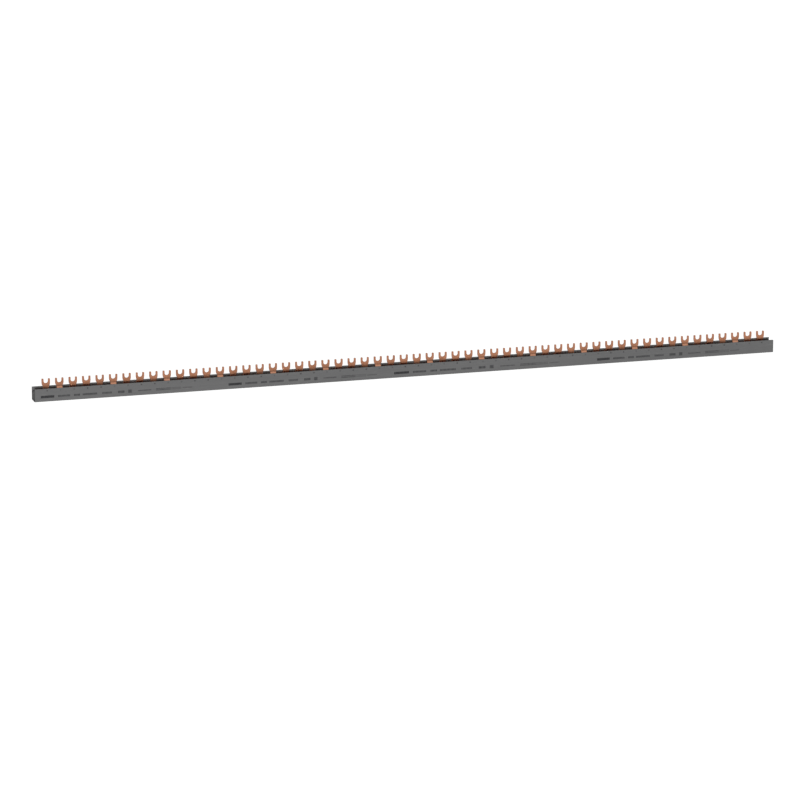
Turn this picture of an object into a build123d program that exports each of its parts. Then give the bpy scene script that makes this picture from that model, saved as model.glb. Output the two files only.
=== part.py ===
from build123d import *
import os

os.makedirs("parts", exist_ok=True)

# A comb busbar joins a row of circuit breakers side by side. Four copper combs lie in one insulating
# channel, one comb for each pole, and their forked terminals take turns along the open top.
# All sizes are in millimetres. X runs along the bar, the front face looks towards -Y and Z is up.
# The origin is in the middle of the channel's underside.

# Driving sizes of the row of terminals
module_pitch = 17.8
poles = 4
housing_length = 1011.7
end_margin = 16.2

# Driving sizes of the insulating channel
housing_depth = 18.3
housing_height = 17.0
wall = 1.4
floor = 1.4
slot_pitch = 3.6
slot_clearance = 0.2
rib_top = 12.8
slot_lead_in = 0.4
outer_radius = 0.9
rim_radius = 0.35

# Driving sizes of the copper combs
sheet = 1.5
bar_height = 10.7
bar_recess = 3.0
fork_width = 11.0
fork_slot = 5.9
fork_tip = 28.95
tip_crown = 0.5
slot_bottom = 22.8
shoulder_top = 23.0
shoulder_middle = 20.7
shoulder_bottom = 18.75
shoulder_draw = 0.45
neck_width_plain = 7.5
neck_width_third = 7.8
neck_width_rear = 8.6
joggle_top = 17.6
joggle_bottom = 13.6
bend_radius = 0.75

# Derived sizes
bar_top = floor + bar_height
slot_width = sheet + 2 * slot_clearance
prong_width = (fork_width - fork_slot) / 2
slot_positions = [slot_pitch * (n - (poles - 1) / 2) for n in range(poles)]
fork_plane = slot_positions[1]
first_fork = -housing_length / 2 + end_margin
modules = int((housing_length - 2 * end_margin) / module_pitch) + 1


# Housing: one extruded channel, open along its top. Its section is a tall trough whose lower half is
# filled by three ribs and two thicker wall feet, which leaves one upright slot for each bar.
with BuildPart() as housing:
    with BuildSketch(Plane.YZ.offset(-housing_length / 2)) as section:
        Rectangle(housing_depth, housing_height, align=(Align.CENTER, Align.MIN))
        fillet(section.vertices().group_by(Axis.Y)[0], radius=outer_radius)
        with Locations((0, rib_top)):
            Rectangle(
                housing_depth - 2 * wall,
                housing_height - rib_top,
                align=(Align.CENTER, Align.MIN),
                mode=Mode.SUBTRACT,
            )
        fillet(section.vertices().group_by(Axis.Y)[-1], radius=rim_radius)
        with Locations(*[(y, floor) for y in slot_positions]):
            Rectangle(
                slot_width,
                rib_top - floor,
                align=(Align.CENTER, Align.MIN),
                mode=Mode.SUBTRACT,
            )
        slot_mouths = section.vertices().filter_by_position(
            Axis.Y, rib_top - 0.01, rib_top + 0.01
        ).filter_by_position(Axis.X, slot_positions[0] - slot_width, slot_positions[-1] + slot_width)
        chamfer(slot_mouths, length=slot_lead_in)
    extrude(amount=housing_length)
housing.part.label = "housing"
export_step(housing.part, "parts/housing.step")


# Combs: each is stamped from flat copper sheet, with its terminals rising from one long bar. The necks
# of three of them are then joggled, so that all the forks end up side by side in one plane.
comb_names = ["comb_front", "comb_second", "comb_third", "comb_rear"]
fork_order = ["comb_second", "comb_front", "comb_third", "comb_rear"]
neck_widths = [neck_width_plain, neck_width_plain, neck_width_third, neck_width_rear]
for name, slot_y, neck_width in zip(comb_names, slot_positions, neck_widths):
    # Neck: seen from the side, a strip of sheet that rises in its own slot and ends in the fork plane.
    # The bend that shows above the channel has its true radii, the one down in the slot is a plain fold.
    with BuildPart() as terminal:
        with BuildSketch(Plane.YZ) as side_view:
            with BuildLine() as middle_line:
                Polyline(
                    (slot_y, bar_top - 2),
                    (slot_y, joggle_bottom),
                    (fork_plane, joggle_top),
                    (fork_plane, shoulder_bottom + sheet),
                )
                offset(amount=sheet / 2, kind=Kind.INTERSECTION, mode=Mode.REPLACE)
            make_face()
            if slot_y != fork_plane:
                bend = side_view.vertices().filter_by_position(
                    Axis.Y, joggle_top - sheet / 2, joggle_top + sheet / 2
                )
                fillet(bend.sort_by(Axis.Y)[-1], radius=bend_radius)
                bend = side_view.vertices().filter_by_position(
                    Axis.Y, joggle_top - sheet / 2, joggle_top + sheet / 2
                )
                fillet(bend.sort_by(Axis.Y)[0], radius=bend_radius + sheet)
        extrude(amount=neck_width / 2, both=True)

        # Fork: flat sheet whose shoulders draw in to the neck in two steps, with two crowned prongs and a
        # round-bottomed slot
        with BuildSketch(Plane.XZ.offset(-fork_plane - sheet / 2)) as front_view:
            with BuildLine() as outline:
                Polyline(
                    (0, shoulder_bottom),
                    (neck_width / 2, shoulder_bottom),
                    (fork_width / 2 - shoulder_draw, shoulder_middle),
                    (fork_width / 2, shoulder_top),
                    (fork_width / 2, fork_tip - tip_crown),
                )
                ThreePointArc(
                    (fork_width / 2, fork_tip - tip_crown),
                    (fork_slot / 2 + prong_width / 2, fork_tip),
                    (fork_slot / 2, fork_tip - tip_crown),
                )
                Line((fork_slot / 2, fork_tip - tip_crown), (0, fork_tip - tip_crown))
                mirror(about=Plane.YZ)
            make_face()
            with Locations((0, slot_bottom + fork_slot / 2)):
                Circle(fork_slot / 2, mode=Mode.SUBTRACT)
                Rectangle(fork_slot, fork_tip, align=(Align.CENTER, Align.MIN), mode=Mode.SUBTRACT)
        extrude(amount=sheet)

    # Bar: a flat strip on edge in its slot, with one terminal for each breaker of its pole
    with BuildPart() as comb:
        with BuildSketch(Plane.XZ.offset(-slot_y - sheet / 2)) as bar_view:
            with Locations((0, floor)):
                Rectangle(
                    housing_length - 2 * bar_recess,
                    bar_height,
                    align=(Align.CENTER, Align.MIN),
                )
        extrude(amount=sheet)
        for module in range(fork_order.index(name), modules, poles):
            with Locations((first_fork + module * module_pitch, 0, 0)):
                add(terminal.part)
    comb.part.label = name
    export_step(comb.part, "parts/" + name + ".step")
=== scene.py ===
# %% [markdown]
# # A comb busbar
# This bar feeds a row of circuit breakers. Four copper combs lie side by side in a grey channel, and
# their forks take turns along its open top. The channel and the combs come as exact solids from a CAD
# model, so the lesson is about what makes them look real: how extruded plastic, printed ink, a sawn
# end and rolled copper sheet are built from shader nodes, and how a bar of one metre by two
# centimetres is lit and photographed.

# %% Load the solids
import math
import bpy
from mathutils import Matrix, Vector


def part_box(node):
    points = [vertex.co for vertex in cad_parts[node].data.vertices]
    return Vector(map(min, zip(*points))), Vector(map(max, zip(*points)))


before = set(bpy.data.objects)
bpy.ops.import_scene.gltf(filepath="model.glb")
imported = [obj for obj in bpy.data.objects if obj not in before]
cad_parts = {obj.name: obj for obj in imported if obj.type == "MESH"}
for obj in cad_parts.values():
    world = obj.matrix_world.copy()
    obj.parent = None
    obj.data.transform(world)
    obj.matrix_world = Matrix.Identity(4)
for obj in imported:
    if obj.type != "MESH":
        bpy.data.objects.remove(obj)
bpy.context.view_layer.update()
bpy.ops.object.select_all(action="DESELECT")

mm = 0.001
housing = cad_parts["housing"]
combs = [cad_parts["comb_" + place] for place in ("front", "second", "third", "rear")]
front_corner, back_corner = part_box("housing")
length, depth, height = back_corner - front_corner
print("channel", [round(side / mm, 1) for side in (length, depth, height)], "mm, combs", len(combs))

# %% [markdown]
# ## The camera
# A bar this long is photographed from far away with a long lens, because from close by the near end
# would look much thicker than the far end. A camera without perspective would be simpler, but it would
# show both ends equally large, and in the photograph the far end is just a little smaller. The camera
# stands to the left of the front, a little above. Its six numbers were fitted to the bar's edges and
# forks in the photograph. A seventh only says how far it can see, in metres.

# %% Camera
turned_left = math.radians(16.558)
raised = math.radians(13.5)
focal_length = 223.614
distance = 6526.8 * mm
bar_beside_centre = 15.716 * mm
bar_above_centre = 30.495 * mm
farthest_seen = 60

camera = bpy.data.objects.new("camera", bpy.data.cameras.new("camera"))
bpy.context.scene.collection.objects.link(camera)
bpy.context.scene.camera = camera
camera.data.lens = focal_length
camera.data.clip_end = farthest_seen
camera.rotation_euler = (math.pi / 2 - raised, 0, -turned_left)
turn = camera.rotation_euler.to_matrix()
to_right, upwards, backwards = turn.col[0], turn.col[1], turn.col[2]
foot_of_front = Vector((0, front_corner.y, front_corner.z))
camera.location = (
    foot_of_front - bar_beside_centre * to_right - bar_above_centre * upwards + distance * backwards
)
print("camera at", [round(c, 3) for c in camera.location])

# %% [markdown]
# ## White paper
# The bar lies on white paper. The paper is a plain diffuse surface, so it takes the bar's soft shadow.
# More light would make it whiter, but that light would fall on the bar too. Instead the Light Path
# node adds a glow that only the camera, gloss and glass can see. Glow and lit paper together are just
# white, and where the bar stands in the light, the sum stays a little below white.

# %% Helpers for new materials
def new_material(name):
    """An empty node material, its node maker and its link maker."""
    material = bpy.data.materials.new(name)
    material.use_nodes = True
    tree = material.node_tree
    tree.nodes.clear()
    return material, tree.nodes.new, tree.links.new


def seen_directly(node, link):
    """A value that is 1 for rays from the camera, from gloss and through glass, and else 0."""
    path = node("ShaderNodeLightPath")
    total = path.outputs["Is Camera Ray"]
    for kind in ("Is Glossy Ray", "Is Transmission Ray"):
        either = node("ShaderNodeMath")
        either.operation = "MAXIMUM"
        link(total, either.inputs[0])
        link(path.outputs[kind], either.inputs[1])
        total = either.outputs[0]
    return total


# %% Paper
paper_white = (0.9, 0.9, 0.9, 1)
paper_glow = 0.86
paper_size = 50
paper_gap = 0.01 * mm

paper, node, link = new_material("white paper")
diffuse = node("ShaderNodeBsdfDiffuse")
diffuse.inputs["Color"].default_value = paper_white
glow = node("ShaderNodeEmission")
strength = node("ShaderNodeMath")
strength.operation = "MULTIPLY"
strength.inputs[1].default_value = paper_glow
link(seen_directly(node, link), strength.inputs[0])
link(strength.outputs[0], glow.inputs["Strength"])
both = node("ShaderNodeAddShader")
link(diffuse.outputs[0], both.inputs[0])
link(glow.outputs[0], both.inputs[1])
link(both.outputs[0], node("ShaderNodeOutputMaterial").inputs["Surface"])

bpy.ops.mesh.primitive_plane_add(size=paper_size, location=(0, 0, front_corner.z - paper_gap))
floor = bpy.context.object
floor.name = "paper_floor"
floor.data.materials.append(paper)
print("floor", [round(side, 1) for side in floor.dimensions])

# %% [markdown]
# ## Light from the room
# The sky is a weak even white that fills the shade. Seen directly or in gloss it is plain white, as
# the walls of a white studio are.

# %% World light
sky_strength = 0.175
plain_white = 1.0

world = bpy.data.worlds.new("studio")
bpy.context.scene.world = world
world.use_nodes = True
node, link = world.node_tree.nodes.new, world.node_tree.links.new
world.node_tree.nodes.clear()
strength = node("ShaderNodeMapRange")
strength.inputs["To Min"].default_value = sky_strength
strength.inputs["To Max"].default_value = plain_white
link(seen_directly(node, link), strength.inputs["Value"])
sky = node("ShaderNodeBackground")
link(strength.outputs[0], sky.inputs["Strength"])
link(sky.outputs[0], node("ShaderNodeOutputWorld").inputs["Surface"])
bpy.context.scene.view_settings.view_transform = "Standard"
print("world strength", sky_strength)

# %% [markdown]
# ## Lamps
# The photograph is lit from the camera's side: the faces that look up are as dark as the inside of
# the channel, and the front wall keeps the light out of it. So the one large lamp stands behind the
# camera and lower, hardly higher than the bar, and the sky only fills the shade. It stands eight
# metres away, so that the near end gets hardly more light than the far end. A second lamp does the
# same for the back at half the strength. Gloss doesn't see either of them, so the copper reflects the
# white studio evenly.

# %% Lamps
def soft_lamp(name, place, size, power):
    """A square area lamp that points at the bar."""
    lamp = bpy.data.objects.new(name, bpy.data.lights.new(name, "AREA"))
    bpy.context.scene.collection.objects.link(lamp)
    lamp.data.size = size
    lamp.data.energy = power
    lamp.location = place
    lamp.rotation_euler = (-Vector(place)).to_track_quat("-Z", "Y").to_euler()
    lamp.visible_glossy = False
    print(name, power, "W")


soft_lamp("lamp_front", (-2.4, -8.0, 0.5), size=1.8, power=742)
soft_lamp("lamp_back", (2.4, 8.0, 1.4), size=2.4, power=380)

# %% [markdown]
# ## Shader patterns
# Every pattern on the bar is worked out from the place on the object and from the way its surface
# faces, never from a picture, so it is as sharp from close by as from far away. A few helpers keep
# that readable. The first two give the place on the object, stretched along each axis as much as a
# pattern needs, and a noise that is read there.

# %% Helpers for places and noise
def object_place(node, link, scale):
    """The place on the object, in metres, stretched by a scale for each axis."""
    place = node("ShaderNodeTexCoord").outputs["Object"]
    mapping = node("ShaderNodeMapping")
    mapping.inputs["Scale"].default_value = scale
    link(place, mapping.inputs["Vector"])
    return mapping.outputs["Vector"]


def noise(node, link, scale, detail=3.0, roughness=0.6):
    """A noise value from 0 to 1 with a period of about 1 / scale metres along each axis."""
    texture = node("ShaderNodeTexNoise")
    texture.inputs["Scale"].default_value = 1.0
    texture.inputs["Detail"].default_value = detail
    texture.inputs["Roughness"].default_value = roughness
    link(object_place(node, link, scale), texture.inputs["Vector"])
    return texture.outputs["Fac"]


# %% [markdown]
# The next helpers do arithmetic in the shader: one step of it, a product, a test for a range, and a
# value that is spread over a new range. Noise hardly ever leaves the middle of its range, so a noise
# that has to reach both ends is spread as well. The last helper mixes two colours.

# %% Helpers for arithmetic and colour
def calculate(node, link, operation, first, second=0.0):
    """A Math node. Each input is a number or another node's output."""
    math_node = node("ShaderNodeMath")
    math_node.operation = operation
    for socket, value in zip(math_node.inputs, (first, second)):
        if isinstance(value, (int, float)):
            socket.default_value = value
        else:
            link(value, socket)
    return math_node.outputs[0]


def product(node, link, *values):
    """All the values multiplied together."""
    result = values[0]
    for value in values[1:]:
        result = calculate(node, link, "MULTIPLY", result, value)
    return result


def between(node, link, value, low, high):
    """1 where the value lies between low and high, else 0."""
    above = calculate(node, link, "GREATER_THAN", value, low)
    below = calculate(node, link, "LESS_THAN", value, high)
    return calculate(node, link, "MULTIPLY", above, below)


def spread(node, link, value, low, high, start=0.0, end=1.0):
    """A value from start to end, spread over low to high and held there beyond."""
    span = node("ShaderNodeMapRange")
    span.inputs["From Min"].default_value = start
    span.inputs["From Max"].default_value = end
    span.inputs["To Min"].default_value = low
    span.inputs["To Max"].default_value = high
    link(value, span.inputs["Value"])
    return span.outputs[0]


def full_noise(node, link, scale, detail=3.0):
    """A noise whose usual values, the middle of its range, are spread over all of 0 to 1."""
    return spread(node, link, noise(node, link, scale, detail), 0.0, 1.0, start=0.3, end=0.7)


def mix_colours(node, link, share, first, second):
    """A mix of two colours. The share is a number or an output, and so is each colour."""
    mixer = node("ShaderNodeMix")
    mixer.data_type = "RGBA"
    sockets = (mixer.inputs["Factor"], mixer.inputs[6], mixer.inputs[7])
    for socket, value in zip(sockets, (share, first, second)):
        if isinstance(value, (int, float, tuple)):
            socket.default_value = value
        else:
            link(value, socket)
    return mixer.outputs[2]


# %% [markdown]
# A colour ramp can hold more than colours. Without blending it is a table that a shader can look
# things up in: the position picks a row, and red, green, blue and alpha are four numbers of that row.

# %% Helper for tables of steps
def table_of_steps(node, link, value, steps):
    """A colour ramp without blending: each step is a position from 0 to 1 and its four numbers."""
    ramp = node("ShaderNodeValToRGB")
    ramp.color_ramp.interpolation = "CONSTANT"
    stops = ramp.color_ramp.elements
    stops.remove(stops[1])
    for number, (position, numbers) in enumerate(steps):
        stop = stops[0] if number == 0 else stops.new(position)
        stop.position = position
        stop.color = numbers
    link(value, ramp.inputs["Fac"])
    parts = node("ShaderNodeSeparateColor")
    link(ramp.outputs["Color"], parts.inputs[0])
    return [parts.outputs[0], parts.outputs[1], parts.outputs[2], ramp.outputs["Alpha"]]


# %% [markdown]
# ## Extruded grey plastic
# The channel is pushed out of a die as one endless profile. The die leaves faint lines along the bar,
# never across it. Cut into the mesh, they would take a great many faces. In the shader they are noise
# that is stretched a few hundred times along X: it changes quickly from line to line and hardly at
# all along a line. A wider, softer noise stands for the uneven sheen of a long extrusion, and a third
# one, kept to its highest spots, for pale scuffs from handling. Lines and cloud together choose
# between a light and a dark grey.

# %% Grey of the channel
grey_light = (0.164, 0.164, 0.164, 1)
grey_dark = (0.134, 0.134, 0.135, 1)
scuffed = (0.215, 0.215, 0.214, 1)
share_of_lines = 0.6
share_of_cloud = 0.4
most_scuffed = 0.5

plastic, node, link = new_material("extruded grey plastic")
lines = full_noise(node, link, scale=(3, 900, 900))
cloud = full_noise(node, link, scale=(14, 60, 60), detail=2.0)
scuff_noise = noise(node, link, scale=(90, 500, 420), detail=5.0, roughness=0.7)
scuffs = spread(node, link, scuff_noise, 0.0, most_scuffed, start=0.60, end=0.72)
tone = calculate(
    node, link, "ADD",
    product(node, link, lines, share_of_lines), product(node, link, cloud, share_of_cloud),
)
colour = mix_colours(node, link, tone, grey_dark, grey_light)
colour = mix_colours(node, link, scuffs, colour, scuffed)
print("grey from", grey_dark[0], "to", grey_light[0])

# %% [markdown]
# ## The sawn ends
# The profile is cut to length with a circular saw. Its teeth leave shallow arcs round the blade's
# centre, so the pattern on the ends is noise that depends only on how far a point is from a blade
# centre below and behind the bar. Both greys of the ends are darker than the skin: that is painted
# shade, for faces that the lamp lights less than the front. The end faces could have a material of
# their own, but the solid comes as it is and stays so. The shader finds the ends itself: they are as
# far along the bar as it goes, give or take a skin that is too thin to see.

# %% Saw marks
# The two end greys are painted shade: darker than the skin because the lamp lights the ends less.
end_shade_grey = (0.078, 0.078, 0.079, 1)
end_shade_light = (0.108, 0.108, 0.108, 1)
blade_centre = (0, 40 * mm, -110 * mm)
teeth_per_metre = 2600
skin = 0.05 * mm

from_centre = node("ShaderNodeVectorMath")
from_centre.operation = "DISTANCE"
link(object_place(node, link, (0, 1, 1)), from_centre.inputs[0])
from_centre.inputs[1].default_value = blade_centre
teeth = node("ShaderNodeTexNoise")
teeth.noise_dimensions = "1D"
teeth.inputs["Scale"].default_value = teeth_per_metre
teeth.inputs["Detail"].default_value = 2.0
link(from_centre.outputs["Value"], teeth.inputs["W"])
saw_marks = teeth.outputs["Fac"]

place = node("ShaderNodeSeparateXYZ")
link(node("ShaderNodeTexCoord").outputs["Object"], place.inputs[0])
along, across, up = place.outputs
from_middle = calculate(node, link, "ABSOLUTE", along)
end_face = calculate(node, link, "GREATER_THAN", from_middle, back_corner.x - skin)
# The ends get the saw arcs in the darker greys: real marks and painted shade together.
saw_marks_and_shade = mix_colours(node, link, saw_marks, end_shade_grey, end_shade_light)
colour = mix_colours(node, link, end_face, colour, saw_marks_and_shade)
print("saw arcs of", round(Vector(blade_centre).length / mm), "mm")

# %% [markdown]
# ## The printed line
# An ink jet prints one small grey line on the front, four times along the metre. Here it is a row of
# plain hatched bars with no meaning. Thin pieces laid on the front would do for it, but they would
# stand out from the wall, and ink has no thickness. So it belongs in the plastic's own material.
# First the four stretches of print are laid over each other: each place on the bar becomes a place in
# the line, from 0 to 1. The third stretch is longer than the others. A ramp will hold the line, and
# Cycles keeps a ramp as 256 samples with 255 spans between them, so a step of the hatch is two spans.

# %% Where the line repeats
hatch_step = 1.62 * mm
ramp_spans = 255
spans_in_step = 2
steps_in_line = ramp_spans / spans_in_step
line_length = steps_in_line * hatch_step
line_starts = [-499.6 * mm, -250.4 * mm, -26.2 * mm, 254.9 * mm]
line_stretch = [1.0, 1.0, 1.14, 1.0]

in_line = 0.0
for start, stretch in zip(line_starts, line_stretch):
    stretch_length = line_length * stretch
    inside = between(node, link, along, start, start + stretch_length)
    from_start = calculate(node, link, "SUBTRACT", along, start)
    share = calculate(node, link, "DIVIDE", from_start, stretch_length)
    in_line = calculate(node, link, "ADD", in_line, product(node, link, inside, share))
print("line of", round(line_length / mm, 1), "mm, printed", len(line_starts), "times")

# %% [markdown]
# Then the bars are looked up in the ramp, as in a table. Each bar has its first hatch step and its
# number of steps, so that no stroke is cut, and four numbers: how dark the ink is, half the height of
# the bar, how much of each hatch step is inked, and half the height of a blank strip that splits a
# bar into two thinner ones. Heights are in millimetres in the list and shares of the tallest bar in
# the ramp. Each stop lies half a span early, where rounding can't move it.

# %% The bars of the line
tallest = 2.2 * mm
half_a_span = 0.5
line_bars = [
    (1, 11, 1.00, 1.6, 0.90, 0.0),
    (15, 10, 0.85, 1.3, 0.70, 0.0),
    (28, 5, 0.90, 1.3, 0.70, 0.0),
    (35, 12, 0.85, 1.3, 0.70, 0.0),
    (51, 8, 0.75, 1.3, 0.70, 0.0),
    (64, 5, 0.90, 1.6, 0.70, 0.0),
    (72, 3, 0.80, 2.2, 0.80, 0.0),
    (80, 11, 0.75, 0.8, 0.65, 0.0),
    (95, 12, 0.85, 1.5, 0.65, 0.3),
    (107, 9, 0.45, 1.5, 0.65, 0.3),
    (117, 8, 0.55, 0.7, 0.65, 0.0),
]

rows = {0: (0, 0, 0, 0)}
for first, count, ink, half_height, inked, blank in line_bars:
    rows[first] = (ink, half_height * mm / tallest, inked, blank * mm / tallest)
    rows.setdefault(first + count, (0, 0, 0, 0))
steps = [
    (max(0, first * spans_in_step - half_a_span) / ramp_spans, rows[first])
    for first in sorted(rows)
]
ink, half_height, inked, blank = table_of_steps(node, link, in_line, steps)
print("bars in the line", len(line_bars))

# %% [markdown]
# A point has ink when it passes every test at once: it is on the front, as near to the middle of the
# line as its bar is high, outside the blank strip, and in the inked part of its hatch step.

# %% Ink of the line
ink_grey = (0.030, 0.030, 0.032, 1)
line_height = 6.4 * mm

off_line = calculate(node, link, "ABSOLUTE", calculate(node, link, "SUBTRACT", up, line_height))
off_line = calculate(node, link, "DIVIDE", off_line, tallest)
in_height = product(
    node, link,
    calculate(node, link, "LESS_THAN", off_line, half_height),
    calculate(node, link, "GREATER_THAN", off_line, blank),
)
hatch = calculate(node, link, "FRACT", product(node, link, in_line, steps_in_line))
in_hatch = calculate(node, link, "LESS_THAN", hatch, inked)
on_front = calculate(node, link, "LESS_THAN", across, front_corner.y + skin)
line_ink = product(node, link, ink, in_height, in_hatch, on_front)
print("line from", (line_height - tallest) / mm, "to", (line_height + tallest) / mm, "mm at most")

# %% [markdown]
# ## The pole marks
# Under the rim, below each fork, a small printed dot tells the poles apart: two of the four are
# strong and two are faint. Rounding the place along the bar to whole forks gives the fork's number
# and the distance from its dot, so that one dot in the shader serves for all of them. What is left
# over when that number is divided by four is the pole, and a second table has its ink. Each stop of
# the table lies a little early, so that rounding can't move a pole into its neighbour's step.

# %% Dots of the poles
module_pitch = 17.8 * mm
end_margin = 16.2 * mm
mark_height = 14.4 * mm
mark_radius = 1.05 * mm
ink_of_pole = [0.62, 0.30, 0.42, 0.66]
poles = len(ink_of_pole)
a_little_early = 0.2 / poles
half_a_module_early = -0.5

first_mark = front_corner.x + end_margin
from_first = calculate(node, link, "SUBTRACT", along, first_mark)
module = calculate(node, link, "DIVIDE", from_first, module_pitch)
nearest = calculate(node, link, "ROUND", module)
aside = product(node, link, calculate(node, link, "SUBTRACT", module, nearest), module_pitch)
below = calculate(node, link, "SUBTRACT", up, mark_height)
reach = calculate(
    node, link, "ADD", product(node, link, aside, aside), product(node, link, below, below)
)
in_dot = calculate(node, link, "LESS_THAN", reach, mark_radius ** 2)
not_before = calculate(node, link, "GREATER_THAN", nearest, half_a_module_early)
pole = calculate(node, link, "MODULO", nearest, poles)
steps = [
    (max(0, number / poles - a_little_early), (pole_ink, 0, 0, 1))
    for number, pole_ink in enumerate(ink_of_pole)
]
dot_ink = table_of_steps(node, link, calculate(node, link, "DIVIDE", pole, poles), steps)[0]
dot_ink = product(node, link, dot_ink, in_dot, not_before, on_front)
printed = calculate(node, link, "MAXIMUM", line_ink, dot_ink)
colour = mix_colours(node, link, printed, colour, ink_grey)
print("first dot at", round(first_mark / mm, 2), "mm")

# %% [markdown]
# ## The plastic's sheen and relief
# The colour is done, and the relief follows from the same patterns: the die lines on the skin, the
# deeper saw marks on the ends. It is a bump of a few hundredths of a millimetre at most. The skin is
# matt, and a torn face even more so. The helper ends a material, and serves for the copper too.

# %% Plastic shader
def finish_material(node, link, shader, height_map, strength, deepest):
    """Give a shader its relief and link it to the material's output."""
    relief = node("ShaderNodeBump")
    relief.inputs["Strength"].default_value = strength
    relief.inputs["Distance"].default_value = deepest
    link(height_map, relief.inputs["Height"])
    link(relief.outputs[0], shader.inputs["Normal"])
    link(shader.outputs[0], node("ShaderNodeOutputMaterial").inputs["Surface"])


skin_roughness = (0.66, 0.80)
torn_roughness = 0.92
plastic_gloss = 0.2
saw_mark_depth = 2.0

shader = node("ShaderNodeBsdfPrincipled")
link(colour, shader.inputs["Base Color"])
matt = calculate(
    node, link, "MAXIMUM",
    spread(node, link, lines, *skin_roughness), product(node, link, end_face, torn_roughness),
)
link(matt, shader.inputs["Roughness"])
shader.inputs["Specular IOR Level"].default_value = plastic_gloss
height_map = calculate(
    node, link, "ADD",
    product(node, link, lines, calculate(node, link, "SUBTRACT", 1.0, end_face)),
    product(node, link, saw_marks, end_face, saw_mark_depth),
)
finish_material(node, link, shader, height_map, strength=0.25, deepest=0.03 * mm)

housing.data.materials.clear()
housing.data.materials.append(plastic)
print("plastic nodes", len(plastic.node_tree.nodes))

# %% [markdown]
# ## Rolled copper
# The combs are stamped from sheet that has been through a rolling mill, so the faces carry fine lines
# along the strip, and bare copper soon gets warm brown stains from air and fingers. One flat colour
# would look like paint. Instead two noises choose between a light and a dark copper: one stretched
# along X for the rolling, one nearly round for wide patches. A finer noise, kept to its highest spots,
# sets the stains.

# %% Rolled faces
copper_light = (0.54, 0.252, 0.150, 1)
copper_dark = (0.39, 0.175, 0.102, 1)
tarnish = (0.31, 0.130, 0.071, 1)
share_of_grain = 0.5
share_of_patches = 0.5
most_tarnished = 0.6

copper, node, link = new_material("rolled copper")
grain = full_noise(node, link, scale=(40, 1500, 1500))
patches = full_noise(node, link, scale=(120, 200, 160), detail=2.0)
tone = calculate(
    node, link, "ADD",
    product(node, link, grain, share_of_grain), product(node, link, patches, share_of_patches),
)
colour = mix_colours(node, link, tone, copper_dark, copper_light)
stain_noise = noise(node, link, scale=(260, 260, 340), detail=4.0, roughness=0.7)
stains = spread(node, link, stain_noise, 0.0, most_tarnished, start=0.56, end=0.74)
colour = mix_colours(node, link, stains, colour, tarnish)
print("copper from", copper_dark[:3], "to", copper_light[:3])

# %% [markdown]
# ## Stamped edges
# A punch first shears the sheet and then tears it, which leaves the cut edges dull, with lines that
# run through the thickness. A face is an edge where its normal hardly points to the front or back.
# The Geometry node gives that normal, and it is the surface's own, so it is the same from any side.

# %% Cut edges
cut_copper = (0.36, 0.158, 0.090, 1)
facing_limit = 0.35
least_dulled = 0.35
most_dulled = 0.9

normal = node("ShaderNodeSeparateXYZ")
link(node("ShaderNodeNewGeometry").outputs["True Normal"], normal.inputs[0])
facing_across = calculate(node, link, "ABSOLUTE", normal.outputs[1])
facing_up = calculate(node, link, "ABSOLUTE", normal.outputs[2])
cut_edge = calculate(node, link, "LESS_THAN", facing_across, facing_limit)
shear_lines = noise(node, link, scale=(2200, 60, 2200), detail=2.0)
dulling = spread(node, link, shear_lines, least_dulled, most_dulled)
cut_share = product(node, link, cut_edge, dulling)
colour = mix_colours(node, link, cut_share, colour, cut_copper)
print("cut edges", cut_copper[:3])

# %% [markdown]
# ## Painted highlight on the bends
# Three combs have joggled necks. Their sloping faces, whose normal points both up or down and to the
# front or back, get a lighter copper. That is a painted highlight, for slopes that catch more light
# than the straight necks. It fades where a slope runs out into a straight neck.

# %% Bends
# A lighter copper for the sloping faces: a painted highlight.
highlight_copper = (0.86, 0.46, 0.30, 1)
most_highlight = 0.42

slope = calculate(node, link, "MINIMUM", facing_across, facing_up)
# The slopes are found from the normal, and their lighter copper is painted highlight.
slope_highlight = spread(node, link, slope, 0.0, most_highlight, start=0.15, end=0.45)
colour = mix_colours(node, link, slope_highlight, colour, highlight_copper)
print("bends", highlight_copper[:3])

# %% [markdown]
# ## The copper's sheen and relief
# Rolled copper is a metal of middling roughness. The rolling lines make it a little rougher or
# smoother, and stains and torn edges make it duller. The relief is the rolling on the faces, with the
# shear lines added on the edges.

# %% Copper shader
rolled_roughness = (0.38, 0.50)
stain_roughness = 0.15
edge_roughness = 0.12
shear_depth = 1.5

shader = node("ShaderNodeBsdfPrincipled")
link(colour, shader.inputs["Base Color"])
shader.inputs["Metallic"].default_value = 1.0
dulled = calculate(
    node, link, "ADD",
    product(node, link, stains, stain_roughness), product(node, link, cut_edge, edge_roughness),
)
satin = calculate(node, link, "ADD", spread(node, link, grain, *rolled_roughness), dulled)
link(satin, shader.inputs["Roughness"])
edge_relief = product(node, link, cut_edge, shear_lines, shear_depth)
height_map = calculate(node, link, "ADD", grain, edge_relief)
finish_material(node, link, shader, height_map, strength=0.2, deepest=0.02 * mm)

for comb in combs:
    comb.data.materials.clear()
    comb.data.materials.append(copper)
print("copper nodes", len(copper.node_tree.nodes))
